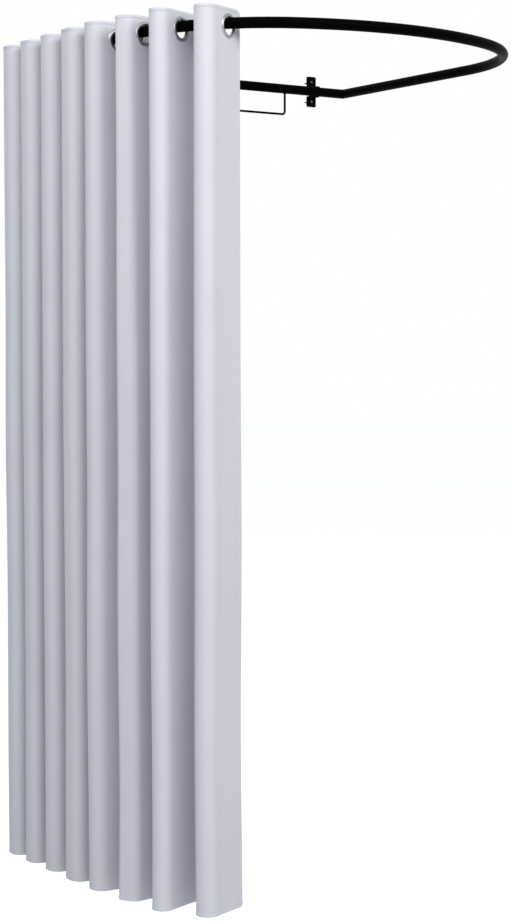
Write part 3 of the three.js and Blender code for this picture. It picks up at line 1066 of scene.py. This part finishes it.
# Slow sway of each crest and loop, nothing at the head and most at the foot of the curtain
sway_random = np.random.default_rng(sway_seed)
sway_places = np.sort(np.concatenate([crest_places, loop_places]))
sway_waves = [
    (sway_random.uniform(*sway_lengths), sway_random.uniform(0, 2 * math.pi), sway_random.uniform(-1, 1))
    for _ in range(2 * len(sway_places))
]

# Lower down, each crest leans back towards the wall and some leading flanks stand out or draw in,
# while the loops and the free edge hang straight
lean_anchors = [(place, fold, -crest_leans[fold]) for fold, place in enumerate(crest_places)]
lean_anchors += [
    (nearest_place(on_flank(fold, 1, -neck_depth)), fold, swell)
    for fold, swell in enumerate(flank_swells)
    if swell
]
lean_anchors += [(place, 0, 0) for place in [*loop_places, cloth_width]]
lean_anchors.sort()
lean_places = np.array([place for place, _, _ in lean_anchors])
lean_shifts = np.array([
    beside_rail(fold_stations[fold], shift, 0) - beside_rail(fold_stations[fold], 0, 0)
    for _, fold, shift in lean_anchors
])


def eased(share):
    """A share from 0 to 1 that starts and ends gently."""
    share = np.clip(share, 0, 1)
    return share * share * (3 - 2 * share)


def sway(place, down):
    """Sideways shifts in X and Y at a place along the cloth and a depth below its top."""
    grown = eased((down - sway_start) / sway_span)
    shifts = []
    for axis in (0, 1):
        values = [
            grown * (math.sin(down * 2 * math.pi / length + phase) + sway_drift * drift)
            for length, phase, drift in sway_waves[axis::2]
        ]
        leans = grown * np.interp(place, lean_places, lean_shifts[:, axis])
        shifts.append(leans + sway_reach * np.interp(place, sway_places, values))
    return np.stack(shifts, -1)


def hem_steps(hem):
    """Distances from an edge, close together at its rim and at its stitch line."""
    return [*rim_steps, hem / 2 + hem_middle_shift, *[hem + step for step in stitch_line_steps]]


def row_depths():
    """Depths below the top edge."""
    top = [0, *hem_steps(top_hem), *rows_below_top_hem]
    bottom = [0, *hem_steps(bottom_hem), *rows_above_bottom_hem]
    upper = np.linspace(top[-1], end_zone, upper_rows)[1:]
    middle = np.linspace(end_zone, cloth_drop - bottom[-1], middle_rows)[1:-1]
    return np.array([*top, *upper, *middle, *[cloth_drop - d for d in reversed(bottom)]])


def columns_between(start, end):
    """Places across a piece of cloth."""
    columns = list(np.linspace(start, end, max(2, int(round((end - start) / column_width)) + 1)))
    close = hem_steps(side_hem)
    reach = close[-1] + least_column_gap
    if start <= 0:
        columns = [0.0, *close, *[p for p in columns if p > reach]]
    if end >= cloth_width:
        columns = [*[p for p in columns if p < end - reach], *[end - c for c in reversed(close)], end]
    return np.array(columns)


def cloth_surface(places):
    """Depths of the rows, and the cloth's middle points and outward normals there at some places along it."""
    rows = row_depths()
    index = places / plan_spacing
    points = np.zeros((len(rows), len(places), 3))
    normals = np.zeros_like(points)
    whole = np.arange(len(plan))
    for i, down in enumerate(rows):
        line = head_plan + (low_plan - head_plan) * eased((down - softening_start) / softening_span)
        line = line + sway(whole * plan_spacing, down)
        along = np.gradient(line, axis=0)
        along /= np.linalg.norm(along, axis=1)[:, None]
        for axis in (0, 1):
            points[i, :, axis] = np.interp(index, whole, line[:, axis])
        normals[i, :, 0] = -np.interp(index, whole, along[:, 1])
        normals[i, :, 1] = np.interp(index, whole, along[:, 0])
    to_side = np.minimum(places, cloth_width - places)
    below_zone = np.clip((rows - end_zone) / (cloth_drop - 2 * end_zone), 0, 1)[:, None]
    drawn_down = (1 - below_zone) * corner_setback(to_side, top_corner_radius)
    drawn_up = below_zone * corner_setback(to_side, bottom_corner_radius)
    points[:, :, 2] = cloth_top - rows[:, None] - drawn_down + drawn_up
    return rows, points, normals


def hem_build(distance, hem):
    """Thickness by distance from a hemmed edge: rounded rim, double layer, pinched stitch line."""
    rim = cloth_thickness * rim_share
    rounding = np.sqrt(np.clip(1 - (1 - np.clip(distance / rim, 0, 1)) ** 2, 0, 1))
    doubled = cloth_thickness * (1 + hem_fullness * np.clip((hem + hem_step - distance) / hem_step, 0, 1))
    pinch = 1 - pinch_share * np.exp(-(((distance - hem) / pinch_width) ** 2))
    return rounding * doubled * pinch


def cloth_thicknesses(rows, places):
    from_top = hem_build(rows, top_hem)
    from_bottom = hem_build(cloth_drop - rows, bottom_hem)
    from_side = hem_build(np.minimum(places, cloth_width - places), side_hem)
    by_row = np.where(rows > cloth_drop - end_zone, from_bottom, cloth_thickness)
    by_row = np.where(rows < end_zone, from_top, by_row)
    return np.maximum(by_row[:, None] * from_side[None, :] / cloth_thickness, least_thickness)


def cloth_piece(name, start, end):
    places = columns_between(start, end)
    rows, points, normals = cloth_surface(places)
    half = cloth_thicknesses(rows, places)[:, :, None] / 2
    vertices, faces = sheet_solid(points + normals * half, points - normals * half)
    mesh = bpy.data.meshes.new(name)
    mesh.from_pydata(vertices.tolist(), [], faces)
    flat = np.stack(np.broadcast_arrays(places[None, :], -rows[:, None]), -1).reshape(-1, 2)
    flat = np.concatenate([flat, flat])
    layer = mesh.uv_layers.new(name="cloth")
    corners = np.zeros(len(mesh.loops), np.int32)
    mesh.loops.foreach_get("vertex_index", corners)
    layer.data.foreach_set("uv", flat[corners].ravel())
    tidy_mesh(mesh, cloth_sharpness)
    return new_object(name, mesh)


# Eyelets: a domed front half and a flatter back half that snap together through the cloth
def eyelets_of(fold):
    """Each side of a fold with the number of its eyelet."""
    return (-1, 2 * fold + 1), (1, 2 * fold + 2)


def eyelet_place(number):
    low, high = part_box(f"eyelet_{number}")
    return (low + high) / 2


def eyelet_turn(fold, side):
    return rail_at(fold_stations[fold])[2] - side * splay_of(fold, side) - math.pi / 2


def hole_cutters(fold):
    cutters = []
    for side, number in eyelets_of(fold):
        turn = Matrix.Rotation(eyelet_turn(fold, side), 4, "Z") @ quarter_turn("X")
        hole = prism(eyelet_hole_radius, cutter_length, eyelet_hole_sides)
        cutters.append(placed(hole, turn, Matrix.Translation(eyelet_place(number))))
    return cutters


def eyelet_mesh():
    width = eyelet_rim_radius - eyelet_bore_radius
    face = cloth_thickness / 2
    back_bore = eyelet_bore_radius + eyelet_back_inset
    back_width = width - 2 * eyelet_back_inset
    neck = eyelet_hole_radius - eyelet_neck_gap
    lip = eyelet_bore_radius + eyelet_lip
    front = [(eyelet_bore_radius + width * r, face + eyelet_rise * h) for r, h in eyelet_shares]
    back = [(back_bore + back_width * r, -face - eyelet_back_rise * h) for r, h in eyelet_shares]
    profile = [*front, (neck, face + eyelet_face_gap), (neck, -face - eyelet_face_gap), *reversed(back)]
    profile += [*[(lip, -face * share) for share in eyelet_lip_shares], front[0]]
    return placed(lathe(profile, eyelet_sides), quarter_turn("X"))


def dress_eyelets(fold, body):
    numbers = [number for _, number in eyelets_of(fold)]
    places = [eyelet_place(number) for number in numbers]
    turns = [(0, 0, eyelet_turn(fold, side)) for side, _ in eyelets_of(fold)]
    rings = on_points(f"eyelets_of_fold_{fold + 1}", eyelet_mesh(), places, turns, plate)
    return dressed(rings, plate, body, [f"eyelet_{number}" for number in numbers])


# Stitched lines: along the head and the foot, and up the side hems, on both faces
def stitch_lines(start, end):
    places = columns_between(start, end)
    rows, points, normals = cloth_surface(places)
    half = cloth_thicknesses(rows, places)[:, :, None] / 2 + stitch_lift
    across = (places > side_hem) & (places < cloth_width - side_hem)
    upright = (rows > top_hem) & (rows < cloth_drop - bottom_hem)
    lines = []
    for face in (points + normals * half, points - normals * half):
        for depth in (top_hem, cloth_drop - bottom_hem):
            lines.append(face[int(np.argmin(np.abs(rows - depth)))][across])
        for at in (side_hem, cloth_width - side_hem):
            if start <= at <= end:
                lines.append(face[upright, int(np.argmin(np.abs(places - at)))])
    return lines


def stitching(name, start, end):
    vertices, edges = [], []
    for line in stitch_lines(start, end):
        first = len(vertices)
        vertices += [tuple(p) for p in line]
        edges += [(first + i, first + i + 1) for i in range(len(line) - 1)]
    mesh = bpy.data.meshes.new(name)
    mesh.from_pydata(vertices, edges, [])
    sizes = {"Step": stitch_spacing, "Length": stitch_length, "Thickness": stitch_thickness}
    return with_nodes(new_object(name, mesh), stitch_tree, **sizes, Finish=thread)


def body_of_fold(fold):
    return "frame" if fold == still_fold else f"fold_{fold + 1}"


def fold_span(fold):
    start = 0.0 if fold == 0 else seam_places[fold - 1][1]
    end = cloth_width if fold == fold_count - 1 else seam_places[fold][0]
    return start, end


for fold in range(fold_count):
    body = body_of_fold(fold)
    start, end = fold_span(fold)
    rings = dress_eyelets(fold, body)
    cloth = drilled(cloth_piece(f"cloth_fold_{fold + 1}", start, end), hole_cutters(fold), cloth_sharpness)
    dressed(cloth, curtain_cloth, body, [f"curtain_fold_{fold + 1}"])
    seams = dressed(stitching(f"stitches_fold_{fold + 1}", start, end), thread, body)

for loop, (start, end) in enumerate(seam_places):
    first = Vector((*on_flank(loop, 1, seam_depth), 0))
    last = Vector((*on_flank(loop + 1, -1, seam_depth), 0))
    cloth = dressed(cloth_piece(f"cloth_loop_{loop + 1}", start, end), curtain_cloth)
    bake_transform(cloth)
    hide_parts(f"curtain_loop_{loop + 1}")
    seams = dressed(stitching(f"stitches_loop_{loop + 1}", start, end), thread)
    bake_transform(seams)


# Studio: pale floor, white surround and soft lamps
def make_world():
    """Plain white to camera, mirror and glass rays, and a soft fill to the rest."""
    world = bpy.data.worlds.new("studio")
    world.use_nodes = True
    tree = Tree(world.node_tree)
    fill = world.node_tree.nodes["Background"]
    tree.feed(fill, {"Color": fill_colour, "Strength": fill_level})
    white = tree.add("ShaderNodeBackground", {"Color": (1, 1, 1, 1)})
    seen = tree.seen_by("Camera", "Glossy", "Transmission")
    mixed = tree.add("ShaderNodeMixShader", {0: seen, 1: fill.outputs[0], 2: white.outputs[0]})
    tree.join(mixed.outputs[0], world.node_tree.nodes["World Output"].inputs["Surface"])
    bpy.context.scene.world = world


def make_floor():
    """A pale floor that takes the shadow, with a glow that brings it near white to camera and mirror rays."""
    near, far = -floor_reach, floor_reach
    corners = [(x, y, floor_level) for x, y in ((near, near), (far, near), (far, far), (near, far))]
    mesh = bpy.data.meshes.new("floor")
    mesh.from_pydata(corners, [], [(0, 1, 2, 3)])
    material, tree, shader, _ = new_finish("pale_floor")
    tree.feed(shader, {"Base Color": floor_colour, "Roughness": floor_roughness, "Specular IOR Level": 0.0})
    strength = tree.times(tree.seen_by("Camera", "Glossy"), floor_glow)
    glow = tree.add("ShaderNodeEmission", {"Strength": strength})
    both = tree.add("ShaderNodeAddShader", {0: shader.outputs[0], 1: glow.outputs[0]})
    tree.join(both.outputs[0], material.node_tree.nodes["Material Output"].inputs["Surface"])
    mesh.materials.append(material)
    floor = new_object("floor", mesh)


def make_camera():
    lens = bpy.data.cameras.new("camera")
    lens.sensor_width = camera_sensor
    lens.lens = camera_lens
    lens.clip_start = camera_near
    lens.clip_end = camera_far
    camera = new_object("camera", lens)
    turn = (
        Matrix.Rotation(-camera_yaw, 4, "Z")
        @ Matrix.Rotation(math.pi / 2 - camera_pitch, 4, "X")
        @ Matrix.Rotation(camera_roll, 4, "Z")
    )
    camera.matrix_world = Matrix.Translation(camera_place) @ turn
    bpy.context.scene.camera = camera


def soft_lamp(name, place, aim, size, power):
    lamp = bpy.data.lights.new(name, "AREA")
    lamp.shape = "RECTANGLE"
    lamp.size, lamp.size_y = size
    lamp.energy = power
    lamp.color = lamp_colour
    obj = new_object(name, lamp)
    obj.location = place
    obj.rotation_euler = (Vector(aim) - Vector(place)).to_track_quat("-Z", "Y").to_euler()


make_world()
make_floor()
make_camera()
soft_lamp("front", place=(-0.3, -4.9, 1.5), aim=(-0.45, -0.6, -0.6), size=(5.2, 1.6), power=162)
soft_lamp("left", place=(-3.4, -1.55, 2.1), aim=(-0.5, -0.4, -0.4), size=(2.2, 1.8), power=76)
bpy.context.scene.view_settings.view_transform = "Standard"
